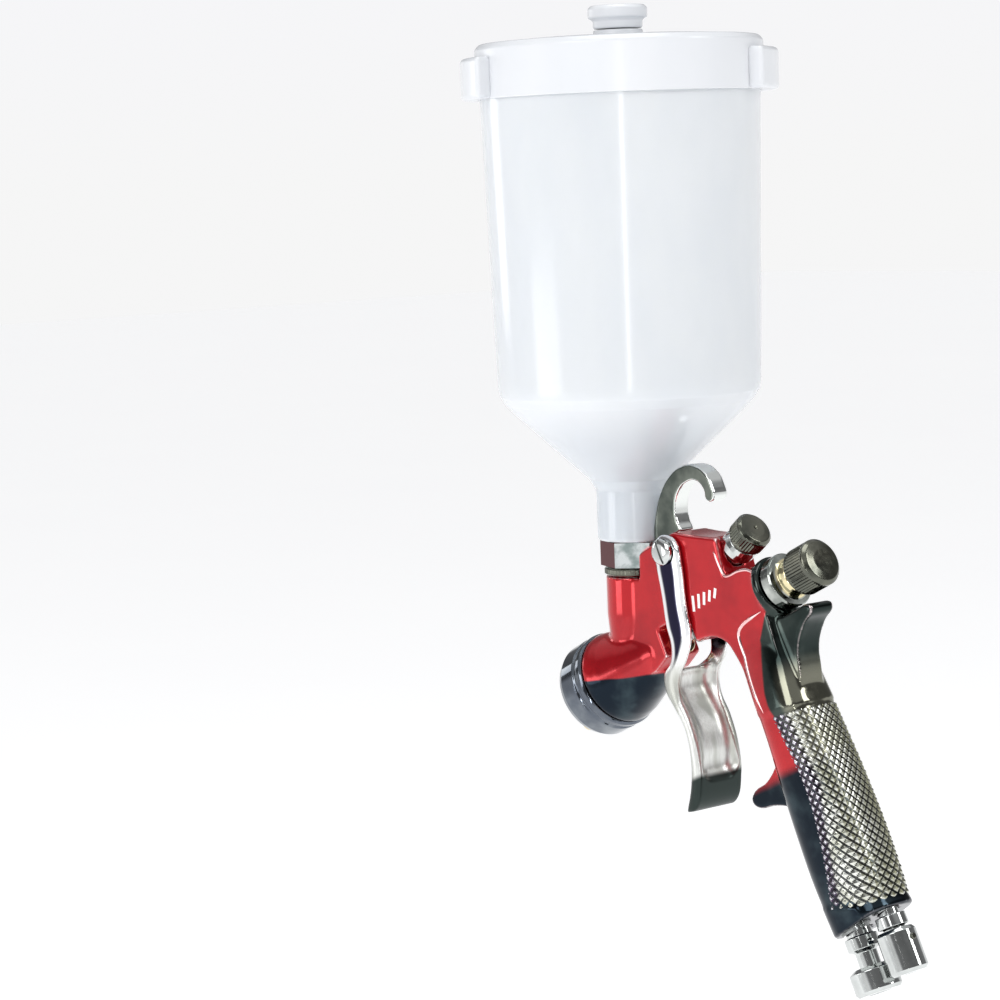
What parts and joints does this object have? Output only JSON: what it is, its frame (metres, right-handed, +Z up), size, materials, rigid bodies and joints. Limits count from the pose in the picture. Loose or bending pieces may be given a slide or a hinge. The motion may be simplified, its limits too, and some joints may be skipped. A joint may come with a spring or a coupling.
{
  "type": "spray gun",
  "caption": "Gravity-feed HVLP spray gun with a lidded paint cup on top, a hanging hook, a sprung trigger, rear control knobs and a knurled handle with its air inlet at the foot.",
  "frame": {"origin": "the middle of the hanging hook's saddle, where the gun hangs", "axes": "+Z up along the paint cup's axis, -X towards the nozzle, +Y towards the gun's right side; the gun's side-to-side mirror plane is Y = 0"},
  "size_m": [0.1706, 0.0992, 0.3074],
  "materials": {
    "red_casting": "glossy candy red over polished metal, darkening to smoked chrome down the handle",
    "chrome": "polished chrome plate",
    "dark_chrome": "smoked chrome, slightly olive",
    "steel": "brushed along its length",
    "brass": "machined, lightly plated",
    "cup_plastic": "milky translucent nylon, satin",
    "lid_plastic": "white translucent plastic, satin",
    "gasket": "matte black"
  },
  "bodies": {
    "gun_frame": {"gun_body": "red_casting", "hanging_hook": "chrome", "fluid_tip": "steel", "air_distributor": "steel", "needle_packing_nut": "brass", "air_valve_spring": "steel", "needle_spring": "steel", "fluid_control_sleeve": "chrome", "pattern_valve_body": "chrome", "trigger_pivot_pin": "chrome", "trigger_pivot_screw": "chrome", "air_inlet_stem": "chrome", "flow_valve_body": "chrome", "cup_adapter": "chrome", "adapter_lock_ring": "dark_chrome", "cup_strainer": "cup_plastic"},
    "ring_body": {"air_cap_ring": "chrome"},
    "cap_body": {"air_cap": "brass"},
    "trigger_body": {"trigger": "steel"},
    "needle_body": {"fluid_needle": "steel"},
    "spindle_body": {"air_valve_spindle": "steel"},
    "fluid_knob_body": {"fluid_control_knob": "dark_chrome"},
    "pattern_knob_body": {"pattern_knob": "dark_chrome", "pattern_valve_stem": "steel"},
    "flow_knob_body": {"air_flow_knob": "chrome", "flow_valve_stem": "steel", "valve_set_screw": "dark_chrome"},
    "inlet_nut_body": {"air_inlet_nut": "chrome"},
    "cup_body": {"paint_cup": "cup_plastic"},
    "lid_body": {"cup_lid": "lid_plastic", "lid_gasket": "gasket"},
    "vent_body": {"vent_cap": "lid_plastic"}
  },
  "joints": [
    {"name": "trigger_pull", "type": "hinge", "parent": "gun_frame", "child": "trigger_body", "pos_m": [-0.00384, 0, -0.02179], "axis": [0, -1, 0], "range_deg": [0, 14], "stiffness_Nm_per_rad": 0.8, "springref_deg": -14.32},
    {"name": "spindle_slide", "type": "slide", "parent": "gun_frame", "child": "spindle_body", "axis": [0.8988, 0, 0.4384], "range_m": [0, 0.0062], "deforming": ["air_valve_spring"]},
    {"name": "needle_slide", "type": "slide", "parent": "gun_frame", "child": "needle_body", "axis": [0.8988, 0, 0.4384], "range_m": [0, 0.0052], "deforming": ["needle_spring"]},
    {"name": "ring_turn", "type": "hinge", "parent": "gun_frame", "child": "ring_body", "pos_m": [-0.02839, 0, -0.06269], "axis": [0.8988, 0, 0.4384], "range_deg": [-540, 540]},
    {"name": "air_cap_turn", "type": "hinge", "parent": "gun_frame", "child": "cap_body", "pos_m": [-0.02839, 0, -0.06269], "axis": [0.8988, 0, 0.4384], "range_deg": [-90, 90]},
    {"name": "fluid_knob_turn", "type": "hinge", "parent": "gun_frame", "child": "fluid_knob_body", "pos_m": [-0.02839, 0, -0.06269], "axis": [0.8988, 0, 0.4384], "range_deg": [-720, 720]},
    {"name": "pattern_knob_turn", "type": "hinge", "parent": "gun_frame", "child": "pattern_knob_body", "pos_m": [0.01898, 0, -0.02067], "axis": [0.766, 0, 0.6428], "range_deg": [-540, 540]},
    {"name": "flow_knob_turn", "type": "hinge", "parent": "gun_frame", "child": "flow_knob_body", "pos_m": [0.08572, 0, -0.13721], "axis": [0.4384, 0, -0.8988], "range_deg": [-360, 360]},
    {"name": "inlet_nut_swivel", "type": "hinge", "parent": "gun_frame", "child": "inlet_nut_body", "pos_m": [0.07452, 0, -0.14823], "axis": [0.4384, 0, -0.8988], "continuous": true},
    {"name": "cup_turn", "type": "hinge", "parent": "gun_frame", "child": "cup_body", "pos_m": [-0.02839, 0, 0], "axis": [0, 0, 1], "range_deg": [-540, 540]},
    {"name": "lid_lift", "type": "slide", "parent": "cup_body", "child": "lid_body", "axis": [0, 0, 1], "range_m": [0, 0.06]},
    {"name": "vent_cap_lift", "type": "slide", "parent": "lid_body", "child": "vent_body", "axis": [0, 0, 1], "range_m": [0, 0.012]}
  ],
  "couplings": [
    {"joint": "spindle_slide", "follows": "trigger_pull", "m_per_rad": 0.024555},
    {"joint": "needle_slide", "follows": "trigger_pull", "m_per_rad": 0.020463}
  ]
}
